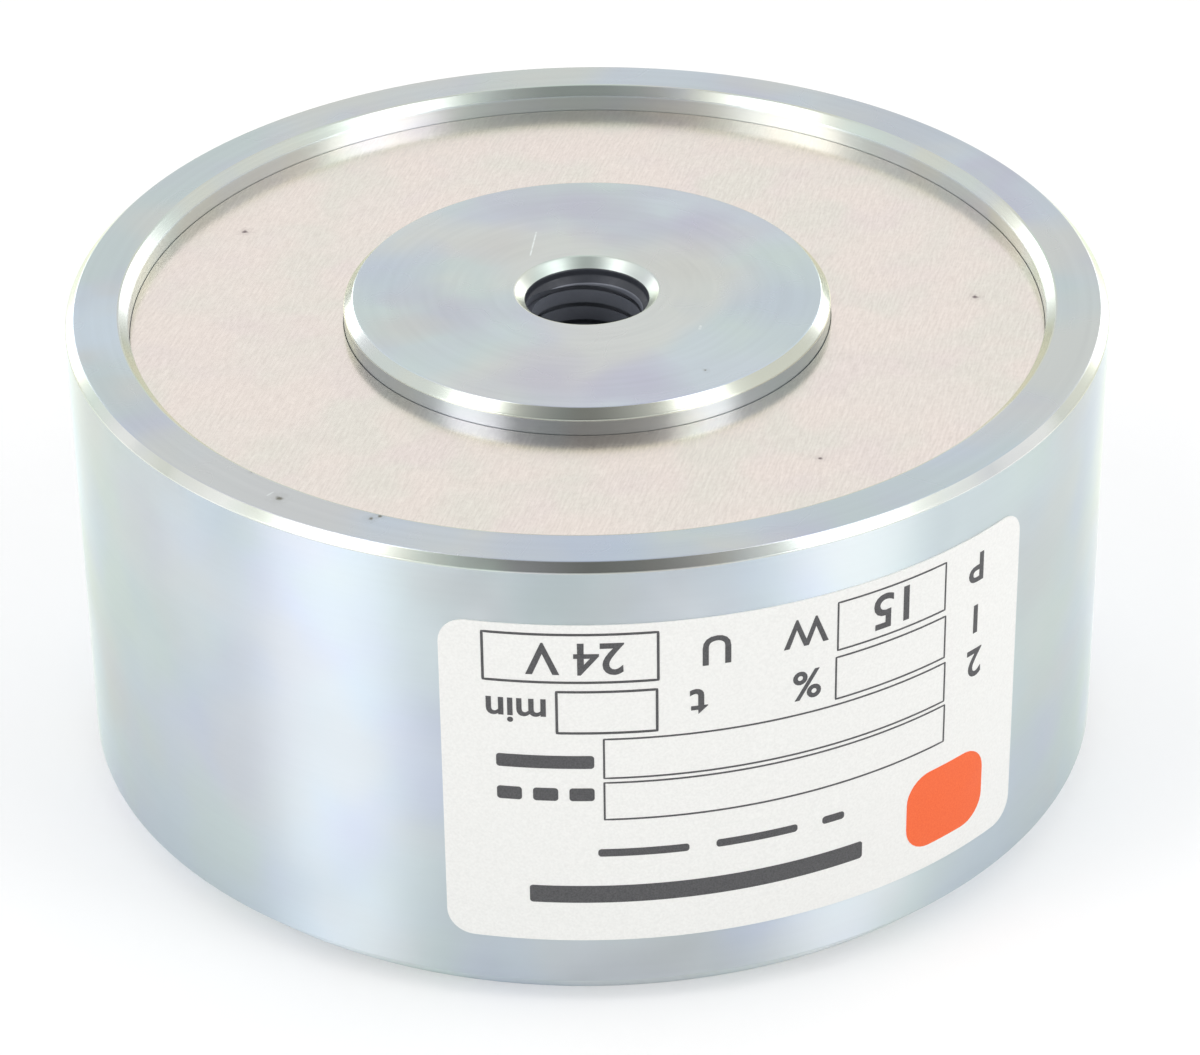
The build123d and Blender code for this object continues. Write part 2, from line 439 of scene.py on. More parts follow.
def cloud_group():
    """One cloud at a place on the piece, with a soft, wavy edge: a tint of the plating, a painted highlight
    or a painted shade, as each list gives.
    """
    made, tree, given, result = node_group(
        "tint and painted light cloud", {"Vector": ("Centre",), "Float": ("Radius",)}, {"Float": ("Mask",)}
    )
    place = tree.place()
    gap = tree.vector("DISTANCE", place, given["Centre"])
    wavy = tree.spread(tree.noise(place, 1 / CLOUD_WAVE, detail=1.0), *CLOUD_NOISE, *CLOUD_WAVY)
    share = tree.math("DIVIDE", gap, tree.math("MULTIPLY", given["Radius"], wavy))
    tree.feed(result["Mask"], tree.spread(share, *CLOUD_FADE, 1.0, 0.0))
    return made


def scratch_group():
    """One fine scratch between two places on the piece, broken along its length."""
    made, tree, given, result = node_group(
        "scratch", {"Vector": ("Start", "End"), "Float": ("Width",)}, {"Float": ("Mask",)}
    )
    place = tree.place()
    run = tree.vector("SUBTRACT", given["End"], given["Start"])
    reach = tree.vector("SUBTRACT", place, given["Start"])
    along = tree.vector("DOT_PRODUCT", reach, run)
    share = tree.math("DIVIDE", along, tree.vector("DOT_PRODUCT", run, run), clamp=True)
    nearest = tree.made("ShaderNodeVectorMath", {0: run, "Scale": share}, operation="SCALE")
    ratio = tree.math("DIVIDE", tree.vector("DISTANCE", reach, nearest), given["Width"])
    line = tree.spread(ratio, *SCRATCH_FADE, 1.0, 0.0)
    broken = tree.spread(tree.noise(place, 1 / SCRATCH_BREAK, detail=2.0), *SCRATCH_NOISE, *SCRATCH_BROKEN)
    tree.feed(result["Mask"], tree.math("MULTIPLY", line, broken))
    return made


TURNING_MARKS = turning_marks_group()
PLATING_TINTS = plating_tints_group()
BRUSHING = brushing_group()
GRAIN = grain_group()
SPECK = speck_group()
CLOUD = cloud_group()
SCRATCH = scratch_group()


# Materials

def new_material(name):
    """A material, its tree and the inputs of its Principled shader."""
    material = bpy.data.materials.new(name)
    material.use_nodes = True
    return material, Tree(material.node_tree), material.node_tree.nodes["Principled BSDF"].inputs


def surfaced(tree, shader, colour, roughness, metallic=0.0):
    """Gives a shader its colour, its roughness, and how metallic it is."""
    tree.feed(shader["Base Color"], colour)
    tree.feed(shader["Roughness"], roughness)
    tree.feed(shader["Metallic"], metallic)


def bumped(tree, shader, height, depth):
    """Feeds a height into a shader's normal, with its depth in metres."""
    bump = tree.made("ShaderNodeBump", {"Height": height, "Distance": depth, "Strength": 1.0})
    tree.feed(shader["Normal"], bump)


def grained(tree, grain_size, smear_size):
    """The grain and the smears of a surface."""
    grain = tree.group(GRAIN, {"Grain Size": grain_size, "Smear Size": smear_size})
    return grain["Grain"], grain["Smears"]


def speckled(tree, colour, specks, level, dark):
    """A colour with dark, stained specks on a level face, each (x, y, radius) in millimetres."""
    for x, y, radius in specks:
        speck = tree.group(SPECK, {"Centre": (x * MM, y * MM, level), "Radius": radius * MM})
        colour = tree.mixed(tree.math("MULTIPLY", speck["Stain"], STAIN_SHARE), colour, dark)
        colour = tree.mixed(speck["Mask"], colour, dark)
    return colour


def clouded(tree, colour, clouds, level):
    """A colour with clouds on a level face, each (x, y, radius, tint) in millimetres and sRGB; some are
    tints of the plating, some painted highlights and painted shade.
    """
    for x, y, radius, tint in clouds:
        mask = tree.group(CLOUD, {"Centre": (x * MM, y * MM, level), "Radius": radius * MM})["Mask"]
        colour = tree.mixed(tree.math("MULTIPLY", mask, CLOUD_SHARE), colour, srgb(*tint))
    return colour


def scratched(tree, colour, scratches, level, light):
    """A colour with light scratches on a level face, each (start, end, width) in millimetres."""
    for (start_x, start_y), (end_x, end_y), width in scratches:
        ends = {"Start": (start_x * MM, start_y * MM, level), "End": (end_x * MM, end_y * MM, level)}
        mask = tree.group(SCRATCH, {**ends, "Width": width * MM})["Mask"]
        colour = tree.mixed(mask, colour, light)
    return colour


def tints(zinc_tint, violet, green, straw, strength=0.8):
    """The colours of a plating's clouds, in sRGB, and how strongly they show."""
    colours = {"Zinc": zinc_tint, "Violet": violet, "Green": green, "Straw": straw}
    return {**{name: srgb(*colour) for name, colour in colours.items()}, "Strength": strength}


# How far roughness strays from its mean, and the tint that zinc mirrors at a low angle
ROUGHNESS_SPREAD = 0.15
GLANCING_TINT = (1.0, 1.0, 0.82, 1.0)


def strayed(roughness):
    """The range of a roughness that is uneven round its mean."""
    return roughness * (1 - ROUGHNESS_SPREAD), roughness * (1 + ROUGHNESS_SPREAD)


def zinc(name, roughness, marks, tinted, cloud_size, anisotropy=0.0, clouds=(), specks=(), scratches=()):
    """Bright zinc plating over a turned surface, with the clouds given, some of them painted highlights and
    painted shade. Its marks are (depth, spacing, how dark they look).
    """
    material, tree, shader = new_material(name)
    depth, spacing, shade = marks
    rings = tree.group(TURNING_MARKS, {"Spacing": spacing, "Change Round": 1.5})["Height"]
    _, smears = grained(tree, 0.25 * MM, 11 * MM)
    plating = tree.group(PLATING_TINTS, {**tinted, "Cloud Size": cloud_size})["Colour"]
    plating = clouded(tree, plating, clouds, BODY_H)
    colour = tree.mixed(tree.uneven(rings, 0.0, shade), plating, srgb(150, 156, 162))
    colour = speckled(tree, colour, specks, BODY_H, srgb(124, 124, 118))
    colour = scratched(tree, colour, scratches, BODY_H, srgb(238, 244, 246))
    surfaced(tree, shader, colour, tree.uneven(smears, *strayed(roughness), soft=True), 1.0)
    shader["Specular Tint"].default_value = GLANCING_TINT
    if anisotropy > 0:
        shader["Anisotropic"].default_value = anisotropy
        shader["Anisotropic Rotation"].default_value = 0.25
        tree.feed(shader["Tangent"], tree.made("ShaderNodeTangent", direction_type="RADIAL", axis="Z"))
    bumped(tree, shader, rings, depth)
    return material


def bare_steel(name, low, high):
    """The dark, unplated steel of the threaded hole, in the two colours given; where they are darker still,
    they stand in for painted shade in the hole.
    """
    material, tree, shader = new_material(name)
    grain, smears = grained(tree, 0.4 * MM, 3 * MM)
    surfaced(tree, shader, tree.mixed(smears, srgb(*low), srgb(*high)), tree.uneven(grain, 0.34, 0.5), 0.2)
    bumped(tree, shader, grain, 0.01 * MM)
    return material


def brushed_cover():
    """Pinkish beige satin sheet, brushed one way."""
    material, tree, shader = new_material("cover_sheet")
    brush = {"Angle": COVER_BRUSH_ANGLE, "Line Width": 0.2 * MM, "Line Length": 1.7 * MM}
    lines = tree.group(BRUSHING, brush)["Lines"]
    grain, _ = grained(tree, 0.4 * MM, 4.5 * MM)
    colour = tree.group(PLATING_TINTS, {**COVER_TINTS, "Cloud Size": 6 * MM})["Colour"]
    colour = tree.mixed(tree.uneven(lines, COVER_STREAK_SHARE, 0.0), colour, srgb(150, 136, 128))
    grit = tree.spread(grain, *COVER_GRIT_NOISE, 0.0, COVER_GRIT_SHARE)
    colour = tree.mixed(grit, colour, srgb(120, 110, 108))
    colour = speckled(tree, colour, COVER_SPECKS, COVER_TOP, srgb(120, 106, 108))
    surfaced(tree, shader, colour, tree.uneven(lines, 0.18, 0.24), 1.0)
    bumped(tree, shader, lines, 0.003 * MM)
    return material


def two_toned(name, low, high, roughness_range, grain_size, smear_size, metallic=0.0):
    """A material of two close colours over its grain, and smears in its gloss."""
    material, tree, shader = new_material(name)
    grain, smears = grained(tree, grain_size, smear_size)
    colour = tree.mixed(tree.uneven(grain), srgb(*low), srgb(*high))
    surfaced(tree, shader, colour, tree.uneven(smears, *roughness_range), metallic)
    return material, tree, shader, grain


def printed_film():
    """White film of the label, a little uneven in its gloss."""
    white = ((238, 238, 235), (246, 246, 243))
    material, tree, shader, grain = two_toned("label_film", *white, (0.32, 0.42), 0.2 * MM, 12 * MM)
    shader["IOR"].default_value = 1.46
    bumped(tree, shader, grain, 0.002 * MM)
    return material


def ink(name, low, high):
    """Printing ink, uneven in its cover."""
    return two_toned(name, low, high, (0.42, 0.52), 0.12 * MM, 4 * MM)[0]


def plain_finish(name, low, high, roughness, depth, grain_size, metallic=0.0):
    """A moulded, pressed or rolled finish, with the depth and the size of its grain in millimetres."""
    sizes = (grain_size * MM, grain_size * MM * SMEARS_PER_GRAIN)
    material, tree, shader, grain = two_toned(name, low, high, strayed(roughness), *sizes, metallic)
    bumped(tree, shader, grain, depth * MM)
    return material


def wound_wire():
    """Rows of enamelled copper wire, wound round Z."""
    material, tree, shader = new_material("enamelled_wire")
    rows = tree.group(TURNING_MARKS, {"Spacing": 0.42 * MM, "Change Round": 0.6})["Height"]
    colour = tree.mixed(rows, srgb(120, 52, 24), srgb(196, 104, 58))
    surfaced(tree, shader, colour, tree.uneven(rows, 0.24, 0.34), 1.0)
    shader["Coat Weight"].default_value = 0.5
    bumped(tree, shader, rows, 0.08 * MM)
    return material


# Specks, clouds and scratches, in millimetres, where the photograph has the plainest of them
COVER_SPECKS = ((-21.6, 21.8, 0.34), (29.1, -7.7, 0.30), (9.1, -26.6, 0.22))
RING_SPOTS = {
    "specks": ((-30.3, -22.2, 0.34), (-24.2, -26.9, 0.22), (-24.9, -27.0, 0.24), (-31.2, -17.9, 0.16)),
    "scratches": (((-31.0, -21.5), (-30.5, -21.2), 0.1),),
    "clouds": (
        (-11.6, -35.7, 6.0, (178, 194, 222)),
        (33.1, 18.3, 5.0, (181, 192, 214)),
        (-36.5, 6.1, 5.0, (202, 222, 243)),
    ),
}
# On the chamfers: the first, dark cloud is painted shade on the front of the rim chamfer, the next four,
# near white, are painted highlights on the rim chamfer, and the last two are straw tints of the plating on
# the pole chamfer.
EDGE_CLOUDS_AND_PAINTED_LIGHT = (
    (-10.1, -38.4, 8.0, (166, 162, 158)),
    (-38.5, -9.7, 3.4, (250, 250, 246)),
    (-34.3, -20.0, 3.0, (252, 252, 250)),
    (16.3, -36.2, 3.0, (244, 244, 242)),
    (24.0, -31.6, 3.4, (250, 250, 248)),
    (9.8, -15.6, 8.0, (206, 204, 182)),
    (-11.3, -14.5, 4.0, (198, 200, 178)),
)
# A painted highlight on the left of the threaded hole's countersink.
COUNTERSINK_PAINTED_HIGHLIGHT = ((-4.7, 1.5, 2.2, (250, 253, 253)),)
VIOLET = (190, 187, 209)
BLUE = (190, 200, 220)
STRAW = (206, 206, 204)
POLE_SPOTS = {
    "specks": ((4.4, -14.9, 0.16),),
    "scratches": (((-0.8, 10.3), (-2.4, 6.8), 0.12), ((6.3, -8.4), (6.1, -8.8), 0.2)),
    "clouds": (
        (1.1, 14.0, 3.4, VIOLET),
        (5.6, 11.3, 3.6, VIOLET),
        (10.6, 6.3, 3.4, VIOLET),
        (-14.0, 7.5, 4.0, BLUE),
        (-10.9, 0.4, 3.4, VIOLET),
        (13.4, -6.6, 4.4, BLUE),
        (-7.3, -12.3, 3.6, VIOLET),
        (-0.9, -15.4, 3.0, VIOLET),
        (-4.2, 8.9, 2.6, STRAW),
        (7.8, 0.6, 3.4, STRAW),
        (-14.9, -1.2, 2.6, STRAW),
    ),
}

# Tints of each surface: zinc, violet, green and straw
FACE_TINTS = tints((197, 207, 220), (192, 194, 214), (195, 209, 211), (207, 209, 209))
EDGE_TINTS = tints((206, 214, 210), (203, 207, 212), (204, 217, 209), (212, 214, 202))
POLE_TINTS = tints((204, 214, 224), (199, 201, 219), (202, 216, 216), (214, 216, 214))
MOUTH_WALL_TINTS = tints((201, 209, 212), (199, 203, 212), (200, 212, 210), (207, 210, 205))
# The pole wall's tints are darker than the others: painted shade of the recess between the pole and the
# cover sheet.
POLE_WALL_PAINTED_SHADE_TINTS = tints((174, 183, 189), (172, 178, 190), (173, 185, 187), (181, 184, 182))
SIDE_TINTS = tints((206, 218, 228), (205, 211, 230), (208, 221, 218), (213, 217, 220), strength=0.6)
COVER_TINTS = tints((247, 239, 231), (246, 235, 230), (242, 239, 229), (250, 239, 231))

# Cover sheet: the angle of its brushing, how dark its streaks and its grit look, and the noise of its grit
COVER_BRUSH_ANGLE = math.radians(58.2)
COVER_STREAK_SHARE = 0.2
COVER_GRIT_SHARE = 0.06
COVER_GRIT_NOISE = (0.35, 0.7)
# Moulded, pressed and rolled finishes: how much wider their smears are than their grain
SMEARS_PER_GRAIN = 20

# Turning marks: (depth, spacing, how dark they look)
SIDE_MARKS = (0.0004 * MM, 0.5 * MM, 0.02)
FACE_MARKS = (0.0003 * MM, 0.5 * MM, 0.08)
EDGE_MARKS = (0.001 * MM, 0.3 * MM, 0.08)
WALL_MARKS = (0.0012 * MM, 0.3 * MM, 0.08)

ZINC_SIDE = zinc("zinc_side", 0.40, SIDE_MARKS, SIDE_TINTS, 13 * MM, anisotropy=0.95)
ZINC_RING_FACE = zinc("zinc_ring_face", 0.27, FACE_MARKS, FACE_TINTS, 12 * MM, **RING_SPOTS)
ZINC_POLE_FACE = zinc("zinc_pole_face", 0.27, FACE_MARKS, POLE_TINTS, 12 * MM, **POLE_SPOTS)
ZINC_EDGE = zinc("zinc_edge", 0.22, EDGE_MARKS, EDGE_TINTS, 9 * MM, clouds=EDGE_CLOUDS_AND_PAINTED_LIGHT)
ZINC_COUNTERSINK = zinc("zinc_countersink", 0.36, EDGE_MARKS, EDGE_TINTS, 9 * MM, clouds=COUNTERSINK_PAINTED_HIGHLIGHT)
ZINC_MOUTH_WALL = zinc("zinc_mouth_wall", 0.34, WALL_MARKS, MOUTH_WALL_TINTS, 9 * MM, anisotropy=0.8)
ZINC_POLE_WALL_PAINTED_SHADE = zinc("zinc_pole_wall_painted_shade", 0.34, WALL_MARKS, POLE_WALL_PAINTED_SHADE_TINTS, 9 * MM, anisotropy=0.8)
ZINC_HIDDEN = zinc("zinc_hidden", 0.38, WALL_MARKS, FACE_TINTS, 12 * MM)
THREADED_STEEL = bare_steel("threaded_steel", (112, 116, 126), (136, 140, 150))
# The relief's colours are much darker than the thread's: painted shade in the mouth of the hole.
RELIEF_STEEL_PAINTED_SHADE = bare_steel("relief_steel_painted_shade", (52, 55, 62), (68, 71, 79))
COVER_SHEET = brushed_cover()
LABEL_FILM = printed_film()
DARK_INK = ink("dark_ink", (66, 66, 68), (88, 88, 90))
ORANGE_INK = ink("orange_ink", (244, 96, 38), (251, 110, 50))
BUSH_RUBBER = plain_finish("bush_rubber", (22, 22, 23), (38, 38, 39), 0.5, 0.004, 0.2)


# Body

def pot_body():
    """The turned cup, with its lead exit drilled by one turned cutter."""
    bore_r = SPIGOT_R + SPIGOT_FIT
    corners = [
        (bore_r + SEAM_CHAMFER, 0, "face"),
        (BODY_R - BACK_CHAMFER, 0, "side"),
        (BODY_R, BACK_CHAMFER, "side"),
        (BODY_R, BODY_H - RIM_CHAMFER, "edge"),
        (BODY_R - RIM_CHAMFER, BODY_H, "face"),
        (MOUTH_R + MOUTH_CHAMFER, BODY_H, "edge"),
        (MOUTH_R, BODY_H - MOUTH_CHAMFER, "wall"),
        (MOUTH_R, COVER_Z, "hidden"),
        (CHAMBER_R, COVER_Z, "hidden"),
        (CHAMBER_R, FLOOR_Z + CHAMBER_CORNER, "hidden"),
        (CHAMBER_R - CHAMBER_CORNER, FLOOR_Z, "hidden"),
        (bore_r, FLOOR_Z, "hidden"),
        (bore_r, SEAM_CHAMFER, "edge"),
    ]
    finishes = {
        "face": ZINC_RING_FACE,
        "edge": ZINC_EDGE,
        "side": ZINC_SIDE,
        "wall": ZINC_MOUTH_WALL,
        "hidden": ZINC_HIDDEN,
    }
    body = turned("pot_body", eased(corners, EDGE_ROUND), finishes, FINE_STEPS)
    within = LEAD_SEAT_Y / 2
    beyond = BODY_R + LEAD_SEAT_R
    hole = ((0, within), (LEAD_HOLE_R, within), (LEAD_HOLE_R, LEAD_SEAT_Y))
    seat = ((LEAD_SEAT_R, LEAD_SEAT_Y), (LEAD_SEAT_R, beyond), (0, beyond))
    drill_section = [(*corner, "drilled") for corner in (*hole, *seat)]
    drill = turned("drill", drill_section, {"drilled": ZINC_EDGE}, SMALL_STEPS, LEAD_AXIS)
    cut = body.modifiers.new("lead exit", "BOOLEAN")
    cut.operation = "DIFFERENCE"
    cut.solver = "EXACT"
    cut.material_mode = "TRANSFER"
    cut.object = drill
    settled(body)
    removed(drill)
    return smooth(body)


# Thread, cut into the centre pole along a helix

QUADRILATERAL = "GeometryNodeCurvePrimitiveQuadrilateral"


def geometry_group(name, inputs):
    """A Geometry Nodes tree that takes a piece and its named inputs, and gives the piece back."""
    piece = {"Geometry": ("Geometry",)}
    return node_group(name, {**piece, **inputs}, piece, "GeometryNodeTree")


def finish_nodes(tree, geometry, material, result, chosen=True):
    """Ends a tree: instances made real, and the material set on what is chosen."""
    real = tree.made("GeometryNodeRealizeInstances", {"Geometry": geometry})
    last = {"Geometry": real, "Selection": chosen, "Material": material}
    tree.feed(result["Geometry"], tree.made("GeometryNodeSetMaterial", last))


def run_tree(piece, made, values):
    """Runs a Geometry Nodes tree on a piece with its input values, and keeps the mesh that it makes."""
    modifier = piece.modifiers.new(made.name, "NODES")
    modifier.node_group = made
    for item in made.interface.items_tree:
        if item.in_out == "INPUT" and item.name in values:
            modifier[item.identifier] = values[item.name]
    return settled(piece)


def thread_group():
    """Cuts a helical V thread into a piece, round Z."""
    radii = ("Outer Radius", "Inner Radius")
    made, tree, given, result = geometry_group(
        "cut thread",
        {
            "Float": ("Pitch", "Turns", *radii, "Root Width", "Open Width", "Start Height", "Start Turn"),
            "Int": ("Steps",),
            "Material": ("Thread Material",),
        },
    )
    outer, inner = (given[name] for name in radii)
    middle = tree.math("MULTIPLY", tree.math("ADD", outer, inner), 0.5)
    helix = tree.made(
        "GeometryNodeCurveSpiral",
        {
            "Resolution": given["Steps"],
            "Rotations": given["Turns"],
            "Start Radius": middle,
            "End Radius": middle,
            "Height": tree.math("MULTIPLY", given["Pitch"], given["Turns"]),
            "Reverse": True,
        },
    )
    upright = tree.made("GeometryNodeSetCurveNormal", {"Curve": helix}, mode="Z_UP")
    vee = tree.made(
        QUADRILATERAL,
        {
            "Height": tree.math("SUBTRACT", outer, inner),
            "Bottom Width": given["Open Width"],
            "Top Width": given["Root Width"],
            "Offset": 0.0,
        },
        mode="TRAPEZOID",
    )
    outward = tree.made("GeometryNodeTransform", {"Geometry": vee, "Rotation": (0, 0, THREAD_VEE_TURN)})
    wire = tree.made(
        "GeometryNodeCurveToMesh", {"Curve": upright, "Profile Curve": outward, "Fill Caps": True}
    )
    lift = tree.combined(z=given["Start Height"])
    turn = tree.combined(z=given["Start Turn"])
    cutter = tree.made("GeometryNodeTransform", {"Geometry": wire, "Translation": lift, "Rotation": turn})
    material = given["Thread Material"]
    coated = tree.made("GeometryNodeSetMaterial", {"Geometry": cutter, "Material": material})
    cut = tree.made(
        "GeometryNodeMeshBoolean",
        {"Mesh 1": given["Geometry"], "Mesh 2": coated},
        operation="DIFFERENCE",
        solver="EXACT",
    )
    threaded = tree.made("GeometryNodeMaterialSelection", {"Material": material})
    finish_nodes(tree, cut, material, result, threaded)
    return made


def centre_pole():
    """The turned centre pole with its threaded hole."""
    lead_in = THREAD_MOUTH_R - THREAD_MINOR_R
    corners = [
        (THREAD_MOUTH_R, SPIGOT_Z, "face"),
        (SPIGOT_R - SEAM_CHAMFER, SPIGOT_Z, "edge"),
        (SPIGOT_R, SPIGOT_Z + SEAM_CHAMFER, "hidden"),
        (SPIGOT_R, FLOOR_Z, "hidden"),
        (POLE_R, FLOOR_Z, "wall"),
        (POLE_R, BODY_H - POLE_CHAMFER, "edge"),
        (POLE_R - POLE_CHAMFER, BODY_H, "face"),
        (THREAD_MOUTH_R, BODY_H, "countersink"),
        (RELIEF_R, BODY_H - THREAD_MOUTH_R + RELIEF_R, "relief"),
        (RELIEF_R, BODY_H - RELIEF_DEPTH, "relief"),
        (THREAD_MINOR_R, BODY_H - RELIEF_DEPTH - RELIEF_R + THREAD_MINOR_R, "thread"),
        (THREAD_MINOR_R, SPIGOT_Z + lead_in, "countersink"),
    ]
    finishes = {
        "face": ZINC_POLE_FACE,
        "edge": ZINC_EDGE,
        "countersink": ZINC_COUNTERSINK,
        "wall": ZINC_POLE_WALL_PAINTED_SHADE,
        "hidden": ZINC_HIDDEN,
        "relief": RELIEF_STEEL_PAINTED_SHADE,
        "thread": THREADED_STEEL,
    }
    pole = turned("centre_pole", eased(corners, EDGE_ROUND), finishes, MEDIUM_STEPS)
    flank = (THREAD_MAJOR_R - CUTTER_INNER_R) * math.tan(THREAD_FLANK)
    height = BODY_H - RELIEF_DEPTH - SPIGOT_Z + CUTTER_OVERRUN
    thread = {
        "Pitch": THREAD_PITCH,
        "Turns": height / THREAD_PITCH,
        "Outer Radius": THREAD_MAJOR_R,
        "Inner Radius": CUTTER_INNER_R,
        "Root Width": THREAD_ROOT_W,
        "Open Width": THREAD_ROOT_W + 2 * flank,
        "Start Height": SPIGOT_Z - CUTTER_OVERRUN,
        "Start Turn": THREAD_START,
        "Steps": SMALL_STEPS,
        "Thread Material": THREADED_STEEL,
    }
    return smooth(run_tree(pole, thread_group(), thread))


def coil_cover():
    """The sheet washer over the coil chamber, its edges a little rounded by the press."""
    inner = POLE_R + COVER_SEEN_FIT
    outer = MOUTH_R - COVER_SEEN_FIT
    corners = ((inner, COVER_Z), (outer, COVER_Z), (outer, COVER_TOP), (inner, COVER_TOP))
    section = eased([(*corner, "sheet") for corner in corners], COVER_EDGE)
    return smooth(turned("coil_cover", section, {"sheet": COVER_SHEET}, FINE_STEPS))


def lead_bush():
    """The moulded rubber bush of the lead exit, rounded as a moulding is."""
    neck_r = LEAD_HOLE_R - BUSH_FIT
    inner = bush_low.y
    outer = bush_high.y
    corners = (
        (BUSH_BORE_R, inner),
        (neck_r, inner),
        (LEAD_HOLE_R + BUSH_LIP, inner + BUSH_LIP_T),
        (neck_r, inner + BUSH_LIP_T),
        (neck_r, LEAD_SEAT_Y),
        (BUSH_HEAD_R, LEAD_SEAT_Y),
        (BUSH_HEAD_R, outer - BUSH_CHAMFER),
        (BUSH_HEAD_R - BUSH_CHAMFER, outer),
        (BUSH_BORE_R, outer),
    )
    section = eased([(*corner, "rubber") for corner in corners], 2 * EDGE_ROUND)
    bush = turned("lead_bush", section, {"rubber": BUSH_RUBBER}, SMALL_STEPS, LEAD_AXIS)
    return smooth(bush, BUSH_SHARP_TURN)


# Label

# Printed boxes: left, right, bottom and top in millimetres across and up, and the width of the rule
BOXES = {
    "voltage": (-20.2, -7.8, 28.35, 32.35, BOLD_RULE_W),
    "time": (-15.0, -7.9, 24.05, 27.55, BOLD_RULE_W),
    "upper_row": (-11.7, 15.3, 20.15, 23.5, RULE_W),
    "lower_row": (-11.7, 15.4, 16.55, 19.75, RULE_W),
    "power": (5.6, 15.1, 28.15, 32.15, RULE_W),
    "duty": (5.5, 15.2, 24.0, 27.55, RULE_W),
}
# Plain words: (text, middle across, middle up, height of a capital), all read with the pole face down
WORDS = (
    ("24 V", -13.6, 30.3, 2.55),
    ("15", 10.4, 30.2, 2.8),
    ("U", -3.6, 30.3, 2.3),
    ("W", 3.1, 30.4, 2.2),
    ("P", 18.4, 30.3, 2.3),
    ("t", -4.9, 25.9, 2.5),
    ("min", -17.9, 25.8, 2.1),
    ("%", 3.2, 25.9, 2.3),
    ("1", 18.4, 25.9, 2.3),
    ("2", 18.4, 22.1, 2.3),
)
# Plain bars and the plain square: (left, right, bottom, top), and the radius of their corners
BARS = (
    (-17.2, 8.0, 9.2, 10.7),
    (-12.2, -5.6, 13.3, 13.95),
    (-3.6, 2.6, 13.3, 13.95),
    (4.6, 6.4, 13.3, 13.95),
    (-19.4, -12.4, 21.0, 22.1),
    (-19.4, -17.6, 18.2, 19.3),
    (-16.8, -15.0, 18.2, 19.3),
    (-14.2, -12.4, 18.2, 19.3),
)
BAR_CORNER = 0.25
EMBLEM = (12.0, 19.8, 7.8, 14.4)
EMBLEM_CORNER = 2.2
# Letters: a capital's share of their size, half of what their strokes gain, and how far a corner may reach
CAPITAL_SHARE = 0.69
LETTER_WEIGHT = 0.055
LETTER_STEPS = 4
MITRE_LIMIT = 0.5


def wrap_nodes(tree, geometry, radius):
    """Bends flat geometry round the body: across becomes a turn, and height above the sheet a radius."""
    x, y, z = tree.parts(tree.made("GeometryNodeInputPosition"))
    angle = tree.math("DIVIDE", x, radius)
    reach = tree.math("ADD", radius, z)
    across = tree.math("MULTIPLY", reach, tree.math("SINE", angle))
    forward = tree.math("MULTIPLY", tree.math("MULTIPLY", reach, tree.math("COSINE", angle)), -1.0)
    bent = tree.combined(across, forward, y)
    return tree.made("GeometryNodeSetPosition", {"Geometry": geometry, "Position": bent})


def wrap_group():
    """Bends a flat piece round the side of the body."""
    made, tree, given, result = geometry_group(
        "wrap round side", {"Float": ("Side Radius",), "Material": ("Material",)}
    )
    bent = wrap_nodes(tree, given["Geometry"], given["Side Radius"])
    finish_nodes(tree, bent, given["Material"], result)
    return made


def ruled_box_group():
    """One printed box: a ruled line round a rectangle, bent round the side of the body."""
    made, tree, given, result = geometry_group(
        "ruled box",
        {
            "Float": ("Width", "Height", "Line Width", "Ink Thickness", "Side Radius"),
            "Vector": ("Centre",),
            "Int": ("Cuts",),
            "Material": ("Material",),
        },
    )
    outline = tree.made(QUADRILATERAL, {"Width": given["Width"], "Height": given["Height"]})
    finer = tree.made("GeometryNodeSubdivideCurve", {"Curve": outline, "Cuts": given["Cuts"]})
    placed = tree.made("GeometryNodeTransform", {"Geometry": finer, "Translation": given["Centre"]})
    level = tree.made("GeometryNodeSetCurveNormal", {"Curve": placed}, mode="Z_UP")
    line = tree.made(QUADRILATERAL, {"Width": given["Line Width"], "Height": given["Ink Thickness"]})
    ruled = tree.made("GeometryNodeCurveToMesh", {"Curve": level, "Profile Curve": line})
    finish_nodes(tree, wrap_nodes(tree, ruled, given["Side Radius"]), given["Material"], result)
    return made


WRAP = wrap_group()
RULED_BOX = ruled_box_group()


def rounded_outline(left, right, bottom, top, corner):
    """The corners of a flat rectangle with round corners."""
    points = []
    sides = (right - corner, left + corner)
    ends = (top - corner, bottom + corner)
    for quarter, (side, end) in enumerate(((0, 0), (1, 0), (1, 1), (0, 1))):
        for step in range(CORNER_STEPS + 1):
            angle = math.radians(90 * quarter + 90 * step / CORNER_STEPS)
            points.append((sides[side] + corner * math.cos(angle), ends[end] + corner * math.sin(angle), 0))
    return points


def flat_panels(name, outlines):
    """A flat mesh of filled outlines."""
    mesh = bpy.data.meshes.new(name)
    work = bmesh.new()
    for outline in outlines:
        work.faces.new([work.verts.new(point) for point in outline])
    work.to_mesh(mesh)
    work.free()
    return linked(name, mesh)


def made_bolder(mesh, weight):
    """Moves the outline of flat letters outwards, so that their strokes grow by twice a weight."""
    work = bmesh.new()
    work.from_mesh(mesh)
    outward = {vert: [] for vert in work.verts}
    for edge in work.edges:
        if edge.is_boundary:
            loop = edge.link_loops[0]
            run = loop.link_loop_next.vert.co - loop.vert.co
            side = run.cross(loop.face.normal).normalized()
            for vert in edge.verts:
                outward[vert].append(side)
    for vert, sides in outward.items():
        if len(sides) == 2:
            vert.co += (sides[0] + sides[1]) * weight / max(MITRE_LIMIT, 1 + sides[0].dot(sides[1]))
    work.to_mesh(mesh)
    work.free()


